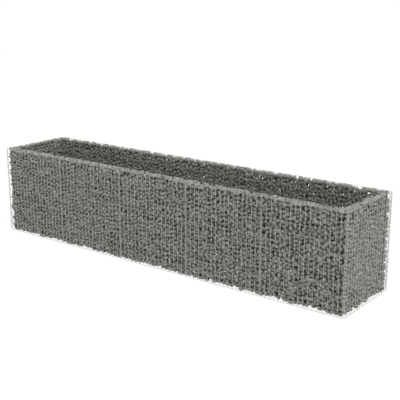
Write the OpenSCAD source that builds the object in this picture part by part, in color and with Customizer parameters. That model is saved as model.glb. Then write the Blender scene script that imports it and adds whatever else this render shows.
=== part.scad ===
// Gabion raised bed: stone-filled walls in a closed rectangle, open at the top and at the ground.
// Each wall is stone packed between an outer and an inner skin of welded wire mesh panels.
// Wire spirals lace the outer panels at every seam and corner, and rings clip the inner ones.
// Z = 0 is the ground, X runs along the bed, and the origin is the middle of the footprint.

/* [Bed] */
// Length of one bay, between the middles of its two seams
bay_length = 900; // [600:10:1200]
// Number of bays along the bed
bays = 5; // [2:1:6]
// Width of the bed, between the middles of its long outer skins
bed_width = 900; // [500:10:1400]
// Height of the mesh panels
panel_height = 1000; // [500:10:1200]
// Thickness of a wall, between the middles of its outer and inner skins
wall_thickness = 100; // [80:5:160]

/* [Mesh] */
// Thickness of the mesh wire
wire = 4; // [3:0.5:6]
// Spacing of the upright wires in the outer panels
outer_mesh_width = 52; // [40:1:120]
// Spacing of the upright wires in the inner panels
inner_mesh_width = 100; // [50:5:150]
// Spacing of the level wires in every panel
mesh_height = 100; // [80:5:150]
// Gap between the edge wires of two panels that meet
edge_gap = 8; // [0.5:0.5:12]

/* [Lacing] */
// Thickness of the spiral wire
spiral_wire = 4; // [3:0.5:5]
// Turns of a spiral between two level wires
turns_per_mesh = 3; // [1:1:3]
// Straight steps in one turn of a spiral
spiral_steps = 5; // [4:1:8]
// Thickness of the ring wire
ring_wire = 4; // [3:0.5:5]
// Level wires from one ring up to the next
rows_per_ring = 2; // [1:1:4]
// Clearance between the lacing and the edge wires inside it
lacing_clearance = 0.3; // [0.2:0.1:0.6]

/* [Stone] */
// Depth of the stone's top below the tops of the panels
fill_drop = 15; // [5:5:60]
// Clearance round each block of stone
fill_clearance = 0.3; // [0.2:0.1:0.6]

/* [Hidden] */
half_length = bays * bay_length / 2;
half_width = bed_width / 2;

// Two edge wires that meet stand this far apart, middle to middle
meet = wire + edge_gap;

// The level wires are spread evenly from the panel's foot to its top
rows = round((panel_height - wire) / mesh_height);
row_step = (panel_height - wire) / rows;
first_row = wire / 2;

// Reach of the two edge wires from the middle of the lacing round them, at a seam and at a corner
seam_reach = norm([(meet + wire) / 2, wire / 2]);
corner_reach = norm([(meet + wire) / 2, (meet + wire) / 2]);

spiral_pitch = row_step / turns_per_mesh;
spiral_turns = rows * turns_per_mesh - 1;

mesh_colour = "#a9aba6";
stone_colour = "#82827a";

function numbered(name) = [for (k = [1:bays]) str(name, "_", k)];

// Place of seam k along the bed: seam 0 is the left end and the last one is the right end
function seam_x(k) = k * bay_length - half_length;

// Middle of the lacing at a corner of the skin that stands back from the outer one
function corner_axis(side_x, side_y, setback) = [
    side_x * (half_length - setback - meet / 2),
    side_y * (half_width - setback - meet / 2)
];

// Radius of a spiral's corners, so that its straight steps still clear the wires inside it
function spiral_radius(reach) =
    (reach + lacing_clearance + spiral_wire / 4) / cos(180 / spiral_steps);

function ring_radius(reach) = reach + lacing_clearance + ring_wire / 2;

// Welded mesh in the XZ plane: upright wires on Y = 0, level wires flat against their -Y side
module mesh_panel(width, left_inset, right_inset, mesh_width) {
    span = width - left_inset - right_inset;
    columns = round(span / mesh_width);
    color(mesh_colour) translate([left_inset - wire / 2, -wire / 2, 0]) union() {
        for (column = [0:columns])
            translate([column * span / columns, 0, 0])
                cube([wire, wire, panel_height]);
        for (row = [0:rows])
            translate([0, -wire, row * row_step])
                cube([span + wire, wire, wire]);
    }
}

// Panel of bay k on the front of the skin that stands back from the outer one
module long_panel(k, setback, mesh_width) {
    at_left_end = k == 1;
    at_right_end = k == bays;
    from = at_left_end ? setback - half_length : seam_x(k - 1);
    to = at_right_end ? half_length - setback : seam_x(k);
    translate([from, setback - half_width, 0])
        mesh_panel(to - from, at_left_end ? meet : meet / 2, at_right_end ? meet : meet / 2, mesh_width);
}

// Panel across the right end of that skin
module end_panel(setback, mesh_width) {
    translate([half_length - setback, setback - half_width, 0])
        rotate(90)
            mesh_panel(bed_width - 2 * setback, meet, meet, mesh_width);
}

module front_panel(k) { long_panel(k, 0, outer_mesh_width); }

module back_panel(k) { rotate(180) long_panel(bays + 1 - k, 0, outer_mesh_width); }

module right_panel() { end_panel(0, outer_mesh_width); }

module left_panel() { rotate(180) end_panel(0, outer_mesh_width); }

module inner_front_panel(k) { long_panel(k, wall_thickness, inner_mesh_width); }

module inner_back_panel(k) { rotate(180) long_panel(bays + 1 - k, wall_thickness, inner_mesh_width); }

module inner_right_panel() { end_panel(wall_thickness, inner_mesh_width); }

module inner_left_panel() { rotate(180) end_panel(wall_thickness, inner_mesh_width); }

// Spiral round two edge wires. Its wire is three-sided, with the flat side towards the wires that it holds.
// At every level wire the spiral passes on the side that faces into the bed, clear of that wire's end.
module spiral(reach, inward) {
    radius = spiral_radius(reach);
    lean = atan(spiral_pitch / (2 * PI * radius));
    half_flat = spiral_wire / 2 * sin(60) / cos(lean);
    section = [
        [radius + spiral_wire / 2, 0],
        [radius - spiral_wire / 4, half_flat],
        [radius - spiral_wire / 4, -half_flat]
    ];
    sides = len(section);
    last = spiral_turns * spiral_steps;
    start = first_row + spiral_pitch / 2;
    points = [
        for (i = [0:last], corner = section)
            let (turn = inward + 180 + i * 360 / spiral_steps)
                [corner[0] * cos(turn), corner[0] * sin(turn), start + i * spiral_pitch / spiral_steps + corner[1]]
    ];
    walls = [
        for (i = [0:last - 1], j = [0:sides - 1])
            let (a = i * sides + j, b = i * sides + (j + 1) % sides)
                each [[a, b, b + sides], [a, b + sides, a + sides]]
    ];
    foot = [[for (j = [sides - 1:-1:0]) j]];
    head = [[for (j = [0:sides - 1]) last * sides + j]];
    color(mesh_colour) polyhedron(points, concat(foot, walls, head));
}

module corner_spirals() {
    for (side_x = [-1, 1], side_y = [-1, 1])
        translate(corner_axis(side_x, side_y, 0))
            spiral(corner_reach, atan2(-side_y, -side_x));
}

module front_seam_spirals() {
    for (k = [1:bays - 1])
        translate([seam_x(k), -half_width, 0])
            spiral(seam_reach, 90);
}

module back_seam_spirals() { rotate(180) front_seam_spirals(); }

// Column of closed rings round two edge wires, each ring halfway between two level wires
module ring_column(reach) {
    color(mesh_colour)
        for (row = [0:rows_per_ring:rows - 1])
            translate([0, 0, first_row + (row + 0.5) * row_step])
                rotate_extrude($fn = 36)
                    translate([ring_radius(reach), 0])
                        circle(d = ring_wire, $fn = 16);
}

module inner_corner_rings() {
    for (side_x = [-1, 1], side_y = [-1, 1])
        translate(corner_axis(side_x, side_y, wall_thickness))
            ring_column(corner_reach);
}

module inner_front_rings() {
    for (k = [1:bays - 1])
        translate([seam_x(k), wall_thickness - half_width, 0])
            ring_column(seam_reach);
}

module inner_back_rings() { rotate(180) inner_front_rings(); }

// Room for one column of lacing, of the radius that its wire reaches
module groove(radius) {
    translate([0, 0, -1])
        cylinder(r = radius + fill_clearance, h = panel_height + 2, $fn = 48);
}

// Room in the stone for all the lacing that reaches into it
module lacing_grooves() {
    corner_spiral_r = spiral_radius(corner_reach) + spiral_wire / 2;
    seam_spiral_r = spiral_radius(seam_reach) + spiral_wire / 2;
    for (side_x = [-1, 1], side_y = [-1, 1]) {
        translate(corner_axis(side_x, side_y, 0))
            groove(corner_spiral_r);
        translate(corner_axis(side_x, side_y, wall_thickness))
            groove(ring_radius(corner_reach) + ring_wire / 2);
    }
    for (k = [1:bays - 1], side_y = [-1, 1]) {
        translate([seam_x(k), side_y * half_width, 0])
            groove(seam_spiral_r);
        translate([seam_x(k), side_y * (half_width - wall_thickness), 0])
            groove(ring_radius(seam_reach) + ring_wire / 2);
    }
}

// The stone starts behind an outer skin's uprights and stops short of an inner skin's level wires
fill_start = wire / 2 + fill_clearance;
fill_stop = wall_thickness - wire * 3 / 2 - fill_clearance;

// Block of stone between two opposite corners, cut back round the lacing
module stone_block(from, to) {
    color(stone_colour) difference() {
        translate([from[0], from[1], 0])
            cube([to[0] - from[0], to[1] - from[1], panel_height - fill_drop]);
        lacing_grooves();
    }
}

// Stone in bay k of the front wall, which runs through to both ends of the bed
module front_fill(k) {
    from_x = k == 1 ? fill_start - half_length : seam_x(k - 1) + fill_clearance / 2;
    to_x = k == bays ? half_length - fill_start : seam_x(k) - fill_clearance / 2;
    stone_block([from_x, fill_start - half_width], [to_x, fill_stop - half_width]);
}

module back_fill(k) { rotate(180) front_fill(bays + 1 - k); }

// Stone in the right end wall, between the front and back walls
module right_fill() {
    half_span = half_width - fill_stop - fill_clearance;
    stone_block([half_length - fill_stop, -half_span], [half_length - fill_start, half_span]);
}

module left_fill() { rotate(180) right_fill(); }

for (k = [1:bays]) {
    front_panel(k);
    back_panel(k);
    inner_front_panel(k);
    inner_back_panel(k);
    front_fill(k);
    back_fill(k);
}
left_panel();
right_panel();
inner_left_panel();
inner_right_panel();
left_fill();
right_fill();
corner_spirals();
front_seam_spirals();
back_seam_spirals();
inner_corner_rings();
inner_front_rings();
inner_back_rings();
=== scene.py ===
import math

import bpy
import numpy as np
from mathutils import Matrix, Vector, kdtree


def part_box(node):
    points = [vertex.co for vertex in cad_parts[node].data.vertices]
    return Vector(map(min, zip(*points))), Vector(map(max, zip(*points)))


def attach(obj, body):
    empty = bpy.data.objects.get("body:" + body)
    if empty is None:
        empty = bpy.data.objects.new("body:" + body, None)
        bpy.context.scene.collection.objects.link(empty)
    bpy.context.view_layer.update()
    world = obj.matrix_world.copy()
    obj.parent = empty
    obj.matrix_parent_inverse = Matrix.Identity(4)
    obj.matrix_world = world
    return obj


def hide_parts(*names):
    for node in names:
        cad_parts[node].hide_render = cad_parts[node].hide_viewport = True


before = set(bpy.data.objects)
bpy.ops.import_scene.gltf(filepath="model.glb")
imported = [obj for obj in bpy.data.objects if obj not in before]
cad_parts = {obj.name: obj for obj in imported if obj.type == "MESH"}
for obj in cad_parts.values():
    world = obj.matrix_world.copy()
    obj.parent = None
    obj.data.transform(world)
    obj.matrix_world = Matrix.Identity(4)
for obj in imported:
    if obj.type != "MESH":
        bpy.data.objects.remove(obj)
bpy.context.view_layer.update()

# Outer skin: one welded mesh panel a bay on each long side, and one across each end.
# The mesh is round steel wire, hot-dip galvanised. The level wires lie on the outside of the
# uprights, and each crossing is spot welded, which sinks the two wires a little into each other.
mesh_wire = 0.004
mesh_rows = 10
outer_mesh_width = 0.052
wire_sides = 8

# A weld, in shares of the wire's thickness: how far the wires sink in, and the radius of the spot
weld_sink = 0.15
weld_radius = 0.5

bright_zinc = (0.59, 0.60, 0.58, 1)
dull_zinc = (0.44, 0.45, 0.43, 1)
# Painted shade: the dark colour that the wire turns to on what faces up, where it also loses some of its
# metal look
wire_top_shade = (0.20, 0.20, 0.18, 1)
zinc_patch_scale = 38.0
zinc_grain_scale = 700.0
zinc_grain_depth = 0.0004
zinc_metallic = 0.35
top_shade_share = 0.7

# The bed's driving sizes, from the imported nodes: the skins' middles, the bays, the edge wires
bays = sum(name.startswith("front_fill_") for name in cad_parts)
panel_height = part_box("right_panel")[1].z
half_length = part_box("right_panel")[1].x - 1.5 * mesh_wire
half_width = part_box("back_panel_1")[1].y - 1.5 * mesh_wire
bay_length = 2 * half_length / bays
corner_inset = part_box("front_panel_1")[0].x + mesh_wire / 2 + half_length
wall_thickness = half_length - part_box("inner_right_panel")[1].x + 1.5 * mesh_wire


class Link:
    """One output socket of a node. Arithmetic on it adds the Math nodes that work it out."""

    def __init__(self, graph, socket):
        self.graph = graph
        self.socket = socket

    def math(self, operation, *terms):
        kind = "ShaderNodeVectorMath" if self.socket.type == "VECTOR" else "ShaderNodeMath"
        return self.graph.node(kind, {"operation": operation}, dict(enumerate(terms)))

    def __add__(self, other):
        return self.math("ADD", self, other)

    def __radd__(self, other):
        return self.math("ADD", other, self)

    def __sub__(self, other):
        return self.math("SUBTRACT", self, other)

    def __rsub__(self, other):
        return self.math("SUBTRACT", other, self)

    def __mul__(self, other):
        return self.math("MULTIPLY", self, other)

    def __rmul__(self, other):
        return self.math("MULTIPLY", other, self)

    def __truediv__(self, other):
        return self.math("DIVIDE", self, other)

    def __rtruediv__(self, other):
        return self.math("DIVIDE", other, self)

    def at_most(self, other):
        return self.math("MINIMUM", self, other)

    def at_least(self, other):
        return self.math("MAXIMUM", self, other)


class Graph:
    """A node tree that is being built, one node at a time."""

    def __init__(self, tree):
        self.tree = tree

    def node(self, kind, settings=None, sockets=None, output=0):
        """Adds a node: its settings are set first, then its sockets get values or links."""
        made = self.tree.nodes.new(kind)
        for name, value in (settings or {}).items():
            setattr(made, name, value)
        for name, value in (sockets or {}).items():
            for one in value if isinstance(value, list) else [value]:
                if isinstance(one, Link):
                    self.tree.links.new(one.socket, made.inputs[name])
                else:
                    made.inputs[name].default_value = one
        return Link(self, made.outputs[output]) if made.outputs else None

    def point(self, x, y, z):
        return self.node("ShaderNodeCombineXYZ", None, {"X": x, "Y": y, "Z": z})

    def parts(self, vector):
        """The X, Y and Z of a vector."""
        outputs = self.node("ShaderNodeSeparateXYZ", None, {"Vector": vector}).socket.node.outputs
        return [Link(self, socket) for socket in outputs]

    def noise(self, place, scale, detail):
        return self.node("ShaderNodeTexNoise", None, {"Vector": place, "Scale": scale, "Detail": detail})

    def eased(self, value, low, high):
        """0 up to the low value, 1 from the high one, and a smooth rise between them."""
        ends = {"Value": value, "From Min": low, "From Max": high}
        return self.node("ShaderNodeMapRange", {"interpolation_type": "SMOOTHSTEP"}, ends)

    def mixed(self, share, first, second):
        """Two colours, mixed by a share from 0 to 1."""
        return self.node("ShaderNodeMix", {"data_type": "RGBA"}, {0: share, 6: first, 7: second}, 2)


def new_material(name):
    """A material with nothing in it yet, its graph, and the place of a point on the piece."""
    material = bpy.data.materials.new(name)
    material.use_nodes = True
    material.node_tree.nodes.clear()
    graph = Graph(material.node_tree)
    return material, graph, graph.node("ShaderNodeTexCoord", output="Object")


def zinc_coat(name, bright, dull):
    """Zinc on steel wire: bright and dull patches along it, a fine grain, and painted shade that darkens
    what faces up.
    """
    material, graph, place = new_material(name)
    patches = graph.eased(graph.noise(place, zinc_patch_scale, 3.0), 0.35, 0.65)
    grain = graph.noise(place, zinc_grain_scale, 2.0)
    upward = graph.parts(graph.node("ShaderNodeNewGeometry", output="Normal"))[2]
    # Painted shade on the faces that point up
    top_shade = top_shade_share * graph.eased(upward + 0.3 * patches, 0.1, 0.8)
    relief = {"Strength": 0.25, "Distance": zinc_grain_depth, "Height": grain}
    zinc = graph.mixed(0.7 * patches + 0.3 * grain, bright, dull)
    shader = graph.node("ShaderNodeBsdfPrincipled", None, {
        "Base Color": graph.mixed(top_shade, zinc, wire_top_shade),
        "Metallic": zinc_metallic - 0.3 * top_shade,
        "Roughness": 0.36 + 0.16 * patches + 0.08 * grain,
        "Normal": graph.node("ShaderNodeBump", None, relief),
    })
    graph.node("ShaderNodeOutputMaterial", None, {"Surface": shader})
    return material


def geometry_tree(name, inputs):
    """A geometry tree with named inputs, its graph, and a link to each input by name."""
    tree = bpy.data.node_groups.new(name, "GeometryNodeTree")
    tree.interface.new_socket("Geometry", in_out="OUTPUT", socket_type="NodeSocketGeometry")
    for input_name, kind in {"Geometry": "Geometry", **inputs}.items():
        tree.interface.new_socket(input_name, in_out="INPUT", socket_type="NodeSocket" + kind)
    graph = Graph(tree)
    sockets = graph.node("NodeGroupInput").socket.node.outputs
    return graph, {input_name: Link(graph, sockets[input_name]) for input_name in ["Geometry", *inputs]}


def end_tree(graph, made, material):
    """Ends a tree with real faces, all in one material."""
    real = graph.node("GeometryNodeRealizeInstances", None, {"Geometry": made})
    coated = graph.node("GeometryNodeSetMaterial", None, {"Geometry": real, "Material": material})
    graph.node("NodeGroupOutput", None, {"Geometry": coated})


def grown_piece(name, graph, start, values):
    """The piece that a geometry tree grows from a starting mesh, as a plain mesh."""
    piece = bpy.data.objects.new(name, start)
    modifier = piece.modifiers.new("growth", "NODES")
    modifier.node_group = graph.tree
    for item in graph.tree.interface.items_tree:
        if item.in_out == "INPUT" and item.name in values:
            modifier[item.identifier] = values[item.name]
    bpy.context.scene.collection.objects.link(piece)
    evaluated = piece.evaluated_get(bpy.context.evaluated_depsgraph_get())
    mesh = bpy.data.meshes.new_from_object(evaluated)
    mesh.name = name
    piece.modifiers.clear()
    piece.data = mesh
    return piece


def wire_run(graph, path, wire, sides):
    """Round wire along a path, closed at both ends."""
    section = graph.node("GeometryNodeCurvePrimitiveCircle", None, {
        "Resolution": sides, "Radius": wire * 0.5,
    })
    sockets = {"Curve": path, "Profile Curve": section, "Fill Caps": True}
    run = graph.node("GeometryNodeCurveToMesh", None, sockets)
    return graph.node("GeometryNodeSetShadeSmooth", None, {"Geometry": run, "Shade Smooth": True})


def panel_tree(material):
    """Welded mesh in the XZ plane: uprights on Y = 0, level wires on their -Y side."""
    graph, given = geometry_tree("welded_panel", {
        "Width": "Float", "Height": "Float", "Left Inset": "Float", "Right Inset": "Float",
        "Columns": "Int", "Rows": "Int", "Wire": "Float", "Place": "Vector", "Heading": "Float",
    })
    wire, width, height = given["Wire"], given["Width"], given["Height"]
    ends = {"mode": "END_POINTS", "count_mode": "TOTAL"}
    right_edge = width - given["Right Inset"]
    level_y = wire * (weld_sink - 1)

    columns = graph.node("GeometryNodeMeshLine", ends, {
        "Count": given["Columns"] + 1,
        "Start Location": graph.point(given["Left Inset"], 0.0, 0.0),
        "Offset": graph.point(right_edge, 0.0, 0.0),
    })
    rows = graph.node("GeometryNodeMeshLine", ends, {
        "Count": given["Rows"] + 1,
        "Start Location": graph.point(0.0, 0.0, wire * 0.5),
        "Offset": graph.point(0.0, 0.0, height - wire * 0.5),
    })
    upright = graph.node("GeometryNodeCurvePrimitiveLine", None, {"End": graph.point(0.0, 0.0, height)})
    level = graph.node("GeometryNodeCurvePrimitiveLine", None, {
        "Start": graph.point(given["Left Inset"] - wire * 0.5, level_y, 0.0),
        "End": graph.point(right_edge + wire * 0.5, level_y, 0.0),
    })
    uprights = graph.node("GeometryNodeInstanceOnPoints", None, {
        "Points": columns, "Instance": wire_run(graph, upright, wire, wire_sides),
    })
    levels = graph.node("GeometryNodeInstanceOnPoints", None, {
        "Points": rows, "Instance": wire_run(graph, level, wire, wire_sides),
    })
    crossings = graph.node("GeometryNodeRealizeInstances", None, {
        "Geometry": graph.node("GeometryNodeInstanceOnPoints", None, {"Points": columns, "Instance": rows}),
    })
    crossing_middles = graph.node("GeometryNodeSetPosition", None, {
        "Geometry": crossings, "Offset": graph.point(0.0, level_y * 0.5, 0.0),
    })
    nugget = graph.node("GeometryNodeMeshIcoSphere", None, {"Radius": wire * weld_radius, "Subdivisions": 1})
    spot = graph.node("GeometryNodeSetShadeSmooth", None, {"Geometry": nugget, "Shade Smooth": True})
    welds = graph.node("GeometryNodeInstanceOnPoints", None, {"Points": crossing_middles, "Instance": spot})
    panel = graph.node("GeometryNodeJoinGeometry", None, {"Geometry": [uprights, levels, welds]})
    stood = graph.node("GeometryNodeTransform", None, {
        "Geometry": panel, "Translation": given["Place"],
        "Rotation": graph.point(0.0, 0.0, given["Heading"]),
    })
    end_tree(graph, stood, material)
    return graph


def seam_x(k):
    """Place of seam k along the bed: seam 0 is the left end and the last one the right end."""
    return k * bay_length - half_length


def stand_skin(prefix, setback, mesh_width, graph):
    """Stands every panel of the skin that lies this far behind the outer one."""
    end_x = half_length - setback
    side_y = half_width - setback
    panels = [
        ("right_panel", 90, (end_x, -side_y), 2 * side_y, corner_inset, corner_inset),
        ("left_panel", 270, (-end_x, side_y), 2 * side_y, corner_inset, corner_inset),
    ]
    for k in range(1, bays + 1):
        left = max(seam_x(k - 1), -end_x)
        right = min(seam_x(k), end_x)
        left_inset = corner_inset if k == 1 else corner_inset / 2
        right_inset = corner_inset if k == bays else corner_inset / 2
        panels.append((f"front_panel_{k}", 0, (left, -side_y), right - left, left_inset, right_inset))
        panels.append((f"back_panel_{k}", 180, (right, side_y), right - left, right_inset, left_inset))
    for node, heading, (x, y), width, left_inset, right_inset in panels:
        columns = round((width - left_inset - right_inset) / mesh_width)
        piece = grown_piece(f"{prefix}{node}_wires", graph, bpy.data.meshes.new(node), {
            "Width": width, "Height": panel_height, "Left Inset": left_inset, "Right Inset": right_inset,
            "Columns": columns, "Rows": mesh_rows, "Wire": mesh_wire,
            "Place": (x, y, 0.0), "Heading": math.radians(heading),
        })
        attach(piece, "root")
        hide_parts(prefix + node)


stand_skin("", 0.0, outer_mesh_width, panel_tree(zinc_coat("galvanised_mesh", bright_zinc, dull_zinc)))


# Inner skin: the same welded panels on the planting side, with uprights about twice as far apart.
# The wire's colours are darker copies of the outer zinc: painted shade for the planting side.
inner_mesh_width = 0.1
# Painted shade: darker copies of the outer zinc colours
shaded_bright_inner_zinc = (0.46, 0.47, 0.45, 1)
shaded_dull_inner_zinc = (0.30, 0.30, 0.28, 1)

stand_skin("inner_", wall_thickness, inner_mesh_width,
           panel_tree(zinc_coat("shade_painted_mesh", shaded_bright_inner_zinc, shaded_dull_inner_zinc)))


# Lacing spirals: coils of galvanised spring wire, screwed down round the two edge wires at each
# corner and seam of the outer skin. A coil makes three turns from one level wire to the next,
# and passes on the side that faces into the bed at every level wire.
spiral_wire = 0.004
corner_coil_radius = 0.013
seam_coil_radius = 0.0108
turns_per_row = 3
steps_per_turn = 14
coil_sides = 7

spring_bright = (0.74, 0.75, 0.73, 1)
spring_dull = (0.60, 0.61, 0.59, 1)

row_step = (panel_height - mesh_wire) / mesh_rows
coil_pitch = row_step / turns_per_row
coil_turns = mesh_rows * turns_per_row - 1


def coil_tree(material):
    """A standing coil on every point, turned by the point's own angle."""
    graph, given = geometry_tree("lacing_coils", {
        "Radius": "Float", "Pitch": "Float", "Turns": "Float", "Foot": "Float", "Wire": "Float",
    })
    path = graph.node("GeometryNodeCurveSpiral", None, {
        "Resolution": steps_per_turn, "Rotations": given["Turns"], "Height": given["Turns"] * given["Pitch"],
        "Start Radius": given["Radius"], "End Radius": given["Radius"],
    })
    coil = graph.node("GeometryNodeTransform", None, {
        "Geometry": wire_run(graph, path, given["Wire"], coil_sides),
        "Translation": graph.point(0.0, 0.0, given["Foot"]),
    })
    angle = graph.node("GeometryNodeInputNamedAttribute", {"data_type": "FLOAT"}, {"Name": "start_angle"})
    coils = graph.node("GeometryNodeInstanceOnPoints", None, {
        "Points": given["Geometry"], "Instance": coil, "Rotation": graph.point(0.0, 0.0, angle),
    })
    end_tree(graph, coils, material)
    return graph


def lace(node, graph, radius, stands):
    """Coils of one radius, each at a place on the ground and started at an angle."""
    start = bpy.data.meshes.new(node)
    start.from_pydata([(x, y, 0.0) for x, y, angle in stands], [], [])
    angles = start.attributes.new("start_angle", "FLOAT", "POINT")
    angles.data.foreach_set("value", [angle for x, y, angle in stands])
    piece = grown_piece(node + "_coils", graph, start, {
        "Radius": radius, "Pitch": coil_pitch, "Turns": float(coil_turns),
        "Foot": mesh_wire / 2 + coil_pitch / 2, "Wire": spiral_wire,
    })
    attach(piece, "root")
    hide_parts(node)


spring_zinc = zinc_coat("spring_zinc", spring_bright, spring_dull)
coils = coil_tree(spring_zinc)
corner_x = half_length - corner_inset / 2
corner_y = half_width - corner_inset / 2
lace("corner_spirals", coils, corner_coil_radius, [
    (side_x * corner_x, side_y * corner_y, math.atan2(side_y, side_x))
    for side_x in (-1, 1) for side_y in (-1, 1)
])
lace("front_seam_spirals", coils, seam_coil_radius, [
    (seam_x(k), -half_width, math.radians(270)) for k in range(1, bays)
])
lace("back_seam_spirals", coils, seam_coil_radius, [
    (seam_x(k), half_width, math.radians(90)) for k in range(1, bays)
])


# Inner lacing: closed rings of the same wire, squeezed round the edge wires of the inner panels.
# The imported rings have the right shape, so they stay and take the zinc.
for node in ("inner_corner_rings", "inner_front_rings", "inner_back_rings"):
    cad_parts[node].data.materials.clear()
    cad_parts[node].data.materials.append(spring_zinc)


# Stone fill: crushed grey stone, 3 to 7 cm, poured between the two skins and shaken down.
# It lies in two layers, one behind each mesh, with flat faces where it presses on the mesh or on the
# ground, and is raked level at the top. Painted shade darkens the stone deep in the wall.
stone_seed = 19
bay_seed_step = 1000
stones_per_square_metre = 1150

# An even throw goes on from stone to stone by these shares of the walls' run and height
throw_step = (0.7548777, 0.5698403)
throw_scatter = (0.004, 0.02)

# Depths of the two layers behind the outer skin, and how far a stone may lie off its layer or row
outer_layer = 0.029
inner_layer = 0.072
lowest_seat = 0.012
highest_seat = panel_height - 0.004
depth_slack = 0.008
foot_slack = 0.026
top_slack = 0.014

# The room that a stone keeps its neighbours out of, and how often and how hard it pushes them
stone_spacing = 0.0465
girth_spread = 0.18
neighbours = 12
settling_rounds = 20
settling_push = 0.35
least_gap = 1e-6

# A stone swells from the mean gap to the stones that touch it. Its sides and the depths of its
# broken faces are shares of that size.
touching_stones = 3
stone_swell = 1.41
smallest_stone = 0.032
largest_stone = 0.066
shortest_side = 0.72
longest_side = 1.28
lump_segments = 7
lump_rings = 5
stone_cuts = 8
least_reach = 0.0001
deepest_cut = 0.24
shallowest_cut = 0.44
sharp_bend = math.radians(22)

# The faces that stop the stones: the ground, the rake at the top, and the wires of the two skins
rested_foot = 0.003
raked_top = panel_height + 0.006
rake_give = 0.35
outer_x = half_length - mesh_wire / 2
outer_y = half_width - mesh_wire / 2
inner_x = half_length - wall_thickness + 1.5 * mesh_wire
inner_y = half_width - wall_thickness + 1.5 * mesh_wire

pale_stone = (0.444, 0.446, 0.404, 1)
dark_stone = (0.205, 0.207, 0.184, 1)
rusty_stone = (0.27, 0.22, 0.19, 1)
mossy_stone = (0.22, 0.228, 0.182, 1)
crystal_white = (0.37, 0.372, 0.340, 1)
# Painted shade: the colour that the faces pointing up turn to
stone_top_shade = (0.19, 0.192, 0.171, 1)
# Painted shade: the colour that the stone turns to near the planting side
planting_side_shade = (0.15, 0.149, 0.130, 1)
# Painted shade: the colour that the stone turns to deep in the wall
deep_shade_stone = (0.05, 0.051, 0.045, 1)
mottle_scale = 55.0
grit_scale = 420.0
crystal_scale = 260.0
stone_relief = 0.004

# Depths in the wall over which painted shade darkens the stone, deeper in from the outer face and nearer to
# the planting side
shade_start_depth = 0.014
full_shade_depth = 0.042
# Painted shade of the wall's depth starts this much further in from the planting side
inner_shade_delay = 0.012
unshaded_inner_depth = 0.05
shaded_inner_depth = 0.02


def near_seats(seats):
    """For each seat, the numbers of the seats next to it and their distances, nearest first."""
    finder = kdtree.KDTree(len(seats))
    for number, seat in enumerate(seats):
        finder.insert(seat, number)
    finder.balance()
    found = [finder.find_n(seat, neighbours + 1)[1:] for seat in seats]
    return (
        np.array([[number for place, number, distance in row] for row in found]),
        np.array([[distance for place, number, distance in row] for row in found]),
    )


def settled_seats():
    """Middles of the stones: thrown evenly round the walls, then pushed apart until they lie still."""
    count = round(4 * (half_length + half_width - wall_thickness) * panel_height * stones_per_square_metre)
    order = np.arange(count)
    chance = np.random.default_rng(stone_seed)
    girth = chance.uniform(1 - girth_spread, 1 + girth_spread, count)
    off_layer, off_foot, off_top = (chance.random((count, 3)) * (depth_slack, foot_slack, top_slack)).T
    throw = (order[:, None] * throw_step + chance.normal(0.0, throw_scatter, (count, 2))) % 1

    # Each stone keeps to its own ring round the walls. The run goes along the front and the right
    # end, and every other stone is turned about to the back and the left end.
    depth = np.where(order // 2 % 2, inner_layer - off_layer, outer_layer + off_layer)
    ring = np.column_stack([half_length - depth, half_width - depth])
    along = throw[:, 0] * 2 * ring.sum(axis=1)
    past_corner = along - 2 * ring[:, 0]
    on_front = np.column_stack([along - ring[:, 0], -ring[:, 1]])
    on_right = np.column_stack([ring[:, 0], past_corner - ring[:, 1]])
    plan = np.where(past_corner[:, None] < 0, on_front, on_right)
    plan[order % 2 == 1] *= -1
    seats = np.column_stack([plan, lowest_seat + throw[:, 1] * (highest_seat - lowest_seat)])

    for _ in range(settling_rounds):
        nearest, gaps = near_seats(seats)
        room = stone_spacing * (girth[:, None] + girth[nearest]) / 2
        apart = (seats[:, None, :] - seats[nearest]) / (gaps[:, :, None] + least_gap)
        push = apart * np.clip(room - gaps, 0.0, None)[:, :, None]
        seats = seats + settling_push * push.sum(axis=1)
        seats[:, :2] = np.clip(seats[:, :2], -ring, ring)
        seats[:, 2] = np.clip(seats[:, 2], lowest_seat + off_foot, highest_seat - off_top)
        spare = ring - abs(seats[:, :2])
        nearer_end = spare[:, 0] < spare[:, 1]
        for axis, pushed in ((0, nearer_end), (1, ~nearer_end)):
            seats[pushed, axis] = np.copysign(ring[pushed, axis], seats[pushed, axis])
    return seats


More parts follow.
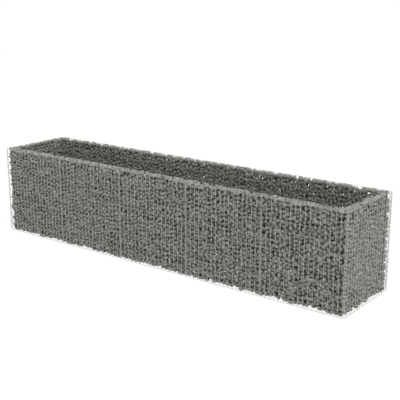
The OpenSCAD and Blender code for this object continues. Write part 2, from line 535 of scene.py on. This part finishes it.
def stone_material():
    """Broken stone: each stone has its own grey, with mottling and small crystals, and painted shade that
    darkens the upward faces, the planting side and the depth of the wall.
    """
    material, graph, place = new_material("crushed_stone")
    tone = graph.node("ShaderNodeAttribute", {"attribute_name": "stone_tone"}, None, "Fac")
    tint = graph.node("ShaderNodeAttribute", {"attribute_name": "stone_tint"}, None, "Fac")
    mottle = graph.noise(place, mottle_scale, 4.0)
    grit = graph.noise(place, grit_scale, 3.0)
    cells = graph.node("ShaderNodeTexVoronoi", None, {"Vector": place, "Scale": crystal_scale})
    crystals = graph.eased(cells, 0.16, 0.06)
    upward = graph.parts(graph.node("ShaderNodeNewGeometry", output="Normal"))[2]
    grey = graph.mixed(0.55 * tone + 0.45 * graph.eased(mottle, 0.3, 0.7), dark_stone, pale_stone)
    rusty = graph.mixed(0.6 * graph.eased(tint, 0.996, 0.998), grey, rusty_stone)
    mossy = graph.mixed(0.5 * graph.eased(tint, 0.14, 0.04), rusty, mossy_stone)
    sparkled = graph.mixed(0.35 * crystals * grit, mossy, crystal_white)
    # Painted shade: the faces that point up are darker
    upward_share = graph.eased(upward + 0.35 * mottle, 0.35, 1.15)
    top_shaded = graph.mixed(0.26 * upward_share, sparkled, stone_top_shade)

    x, y, z = graph.parts(place)
    outer_depth = (half_length - x.at_least(-1 * x)).at_most(half_width - y.at_least(-1 * y))
    inner_depth = wall_thickness - outer_depth
    depth = outer_depth.at_most(inner_depth - inner_shade_delay).at_most(panel_height - z)
    # Painted shade: the stone is darker near the planting side
    inner_shaded = graph.mixed(0.42 * graph.eased(inner_depth, unshaded_inner_depth, shaded_inner_depth), top_shaded, planting_side_shade)
    # Painted shade: the stone is darker deep in the wall
    deep_shaded = graph.mixed(0.82 * graph.eased(depth, shade_start_depth, full_shade_depth), inner_shaded, deep_shade_stone)
    relief = {"Strength": 0.55, "Distance": stone_relief, "Height": 0.7 * mottle + 0.3 * grit}
    shader = graph.node("ShaderNodeBsdfPrincipled", None, {
        "Base Color": deep_shaded,
        "Roughness": 0.78 + 0.18 * grit,
        "Specular IOR Level": 0.35,
        "Normal": graph.node("ShaderNodeBump", None, relief),
    })
    graph.node("ShaderNodeOutputMaterial", None, {"Surface": shader})
    return material


def stone_tree(material):
    """A stone on every seat: a rounded lump, turned and stretched, with flat faces broken off it."""
    graph, given = geometry_tree("broken_stones", {
        "Seed": "Int", "Shortest": "Float", "Longest": "Float", "Top": "Float",
        "Low": "Vector", "High": "Vector",
    })

    def attribute(name, kind):
        return graph.node("GeometryNodeInputNamedAttribute", {"data_type": kind}, {"Name": name})

    def keep(geometry, name, kind, value):
        settings = {"data_type": kind, "domain": "POINT"}
        return graph.node("GeometryNodeStoreNamedAttribute", settings,
                          {"Geometry": geometry, "Name": name, "Value": value})

    def chance(draw, low, high, number):
        """A number between two ends, drawn for each stone by its own number."""
        sockets = {2: low, 3: high, "ID": number, "Seed": given["Seed"] + draw}
        return graph.node("FunctionNodeRandomValue", {"data_type": "FLOAT"}, sockets, 1)

    def chance_vector(draw, low, high, number):
        sockets = {0: low, 1: high, "ID": number, "Seed": given["Seed"] + draw}
        return graph.node("FunctionNodeRandomValue", {"data_type": "FLOAT_VECTOR"}, sockets, 0)

    cut_depth_draw = 50
    stretch_draw, turn_draw, tone_draw, tint_draw = range(100, 104)
    here = graph.node("GeometryNodeInputPosition")
    number = graph.node("GeometryNodeInputIndex")
    size = attribute("stone_size", "FLOAT")
    stretch = chance_vector(stretch_draw, graph.point(*[given["Shortest"]] * 3),
                            graph.point(*[given["Longest"]] * 3), number)
    seats = keep(given["Geometry"], "stone_seat", "FLOAT_VECTOR", here)
    seats = keep(seats, "stone_number", "INT", number)
    lump = graph.node("GeometryNodeMeshUVSphere", None, {
        "Radius": 0.5, "Segments": lump_segments, "Rings": lump_rings,
    })
    lumps = graph.node("GeometryNodeInstanceOnPoints", None, {
        "Points": seats, "Instance": lump,
        "Rotation": chance_vector(turn_draw, (-math.pi,) * 3, (math.pi,) * 3, number),
        "Scale": graph.node("ShaderNodeVectorMath", {"operation": "SCALE"}, {0: stretch, "Scale": size}),
    })
    stones = graph.node("GeometryNodeRealizeInstances", None, {"Geometry": lumps})

    number = attribute("stone_number", "INT")
    seat = attribute("stone_seat", "FLOAT_VECTOR")
    outward = here - seat
    dot_product = {"operation": "DOT_PRODUCT"}
    kept_share = 1.0
    for cut in range(stone_cuts):
        raw = chance_vector(cut, (-1.0,) * 3, (1.0,) * 3, number)
        facing = graph.node("ShaderNodeVectorMath", {"operation": "NORMALIZE"}, {0: raw})
        reach = graph.node("ShaderNodeVectorMath", dot_product, {0: outward, 1: facing}, "Value")
        depth = size * chance(cut_depth_draw + cut, deepest_cut, shallowest_cut, number)
        share = depth / reach.at_least(least_reach)
        kept_share = share.at_most(kept_share)
    broken = graph.node("ShaderNodeVectorMath", {"operation": "SCALE"}, {0: outward, "Scale": kept_share})
    x, y, z = graph.parts(seat + broken)
    raked = z.at_most(given["Top"]) + rake_give * (z - given["Top"]).at_least(0.0)
    packed = graph.point(x, y, raked).at_least(given["Low"]).at_most(given["High"])
    stones = graph.node("GeometryNodeSetPosition", None, {"Geometry": stones, "Position": packed})
    stones = keep(stones, "stone_tone", "FLOAT", chance(tone_draw, 0.0, 1.0, number))
    stones = keep(stones, "stone_tint", "FLOAT", chance(tint_draw, 0.0, 1.0, number))
    for spent in ("stone_seat", "stone_number", "stone_size"):
        stones = graph.node("GeometryNodeRemoveAttribute", None, {"Geometry": stones, "Name": spent})
    bend = graph.node("GeometryNodeInputMeshEdgeAngle")
    sharp = graph.node("FunctionNodeCompare", {"data_type": "FLOAT", "operation": "GREATER_THAN"},
                       {0: bend, 1: sharp_bend})
    stones = graph.node("GeometryNodeSetShadeSmooth", None, {"Geometry": stones, "Shade Smooth": True})
    stones = graph.node("GeometryNodeSetShadeSmooth", {"domain": "EDGE"},
                        {"Geometry": stones, "Selection": sharp, "Shade Smooth": False})
    end_tree(graph, stones, material)
    return graph


def pour(node, graph, chosen, seed, low, high):
    """The chosen stones as one block of fill, flat where they press on the mesh round it."""
    start = bpy.data.meshes.new(node)
    start.from_pydata(seats[chosen].tolist(), [], [])
    stone_size = start.attributes.new("stone_size", "FLOAT", "POINT")
    stone_size.data.foreach_set("value", sizes[chosen].astype(np.float32))
    piece = grown_piece(node + "_stones", graph, start, {
        "Seed": seed, "Shortest": shortest_side, "Longest": longest_side, "Top": raked_top,
        "Low": (*low, rested_foot), "High": (*high, raked_top + largest_stone),
    })
    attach(piece, "root")
    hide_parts(node)


seats = settled_seats()
swollen = near_seats(seats)[1][:, :touching_stones].mean(axis=1) * stone_swell
sizes = np.clip(swollen, smallest_stone, largest_stone)
bay_of = np.clip(((seats[:, 0] + half_length) // bay_length).astype(int) + 1, 1, bays)
in_front = seats[:, 1] < wall_thickness - half_width
behind = seats[:, 1] > half_width - wall_thickness
between = ~in_front & ~behind
on_left = seats[:, 0] < 0
broken_stones = stone_tree(stone_material())
for k in range(1, bays + 1):
    bay_seed = stone_seed + bay_seed_step * k
    in_front_bay = in_front & (bay_of == k)
    in_back_bay = behind & (bay_of == k)
    pour(f"front_fill_{k}", broken_stones, in_front_bay, bay_seed, (-outer_x, -outer_y), (outer_x, -inner_y))
    pour(f"back_fill_{k}", broken_stones, in_back_bay, bay_seed, (-outer_x, inner_y), (outer_x, outer_y))
pour("left_fill", broken_stones, between & on_left, stone_seed, (-outer_x, -outer_y), (-inner_x, outer_y))
pour("right_fill", broken_stones, between & ~on_left, stone_seed, (inner_x, -outer_y), (outer_x, outer_y))


# Studio: a pale floor that takes the bed's shadow, an even white surround and one broad key lamp.
# The lamp shines from the right and from high up, so that the right end and the tops of the
# stones are the lightest.
floor_size = 40.0
floor_colour = (0.46, 0.46, 0.46, 1)
seen_floor_colour = (0.20, 0.20, 0.20, 1)
floor_lift = 0.85
surround_light = 0.85
key_from = Vector((0.58, -0.22, 0.79))
key_energy = 1.36
key_angle = math.radians(8)
floor_cloud_scale = 1.5

floor_mesh = bpy.data.meshes.new("studio_floor")
half_floor = floor_size / 2
floor_corners = [(-half_floor, -half_floor, 0), (half_floor, -half_floor, 0),
                 (half_floor, half_floor, 0), (-half_floor, half_floor, 0)]
floor_mesh.from_pydata(floor_corners, [], [(0, 1, 2, 3)])
floor = bpy.data.objects.new("studio_floor", floor_mesh)
bpy.context.scene.collection.objects.link(floor)


def seen_rays(graph):
    """1 for what the camera sees, straight or in a reflection, and 0 for the light that falls on things."""
    camera_ray = graph.node("ShaderNodeLightPath", output="Is Camera Ray")
    outputs = camera_ray.socket.node.outputs
    mirrored = Link(graph, outputs["Is Glossy Ray"]).at_least(Link(graph, outputs["Is Transmission Ray"]))
    return camera_ray.at_least(mirrored)


floor_paint, graph, place = new_material("floor_paint")
cloud = graph.noise(place, floor_cloud_scale, 2.0)
seen = seen_rays(graph)
paint = graph.node("ShaderNodeBsdfDiffuse", None, {
    "Color": graph.mixed(seen * (0.96 + 0.08 * cloud), floor_colour, seen_floor_colour),
})
glow = graph.node("ShaderNodeEmission", None, {"Strength": seen * floor_lift})
lit = graph.node("ShaderNodeAddShader", None, {0: paint, 1: glow})
graph.node("ShaderNodeOutputMaterial", None, {"Surface": lit})
floor_mesh.materials.append(floor_paint)

world = bpy.data.worlds.new("studio")
world.use_nodes = True
world.node_tree.nodes.clear()
graph = Graph(world.node_tree)
surround = graph.node("ShaderNodeBackground", None, {
    "Color": (1, 1, 1, 1), "Strength": surround_light + seen_rays(graph) * (1 - surround_light),
})
graph.node("ShaderNodeOutputWorld", None, {"Surface": surround})
bpy.context.scene.world = world

key_light = bpy.data.lights.new("key_lamp", "SUN")
key_light.energy = key_energy
key_light.angle = key_angle
key_lamp = bpy.data.objects.new("key_lamp", key_light)
key_lamp.rotation_euler = key_from.to_track_quat("Z", "Y").to_euler()
bpy.context.scene.collection.objects.link(key_lamp)


# Camera: to the right of the front and a little above the rim, as in the photograph.
# Its place and its lens were fitted to the bed's corners and seams.
camera_azimuth = math.radians(37.19)
camera_elevation = math.radians(15.34)
camera_distance = 8.77
camera_aim = Vector((0.288, 0.0, 0.688))
camera_lens = 74.57

camera = bpy.data.objects.new("camera", bpy.data.cameras.new("camera"))
camera.data.lens = camera_lens
away = Vector((
    math.sin(camera_azimuth) * math.cos(camera_elevation),
    -math.cos(camera_azimuth) * math.cos(camera_elevation),
    math.sin(camera_elevation),
))
camera.location = camera_aim + away * camera_distance
camera.rotation_euler = away.to_track_quat("Z", "Y").to_euler()
bpy.context.scene.collection.objects.link(camera)
bpy.context.scene.camera = camera
bpy.context.scene.view_settings.view_transform = "Standard"
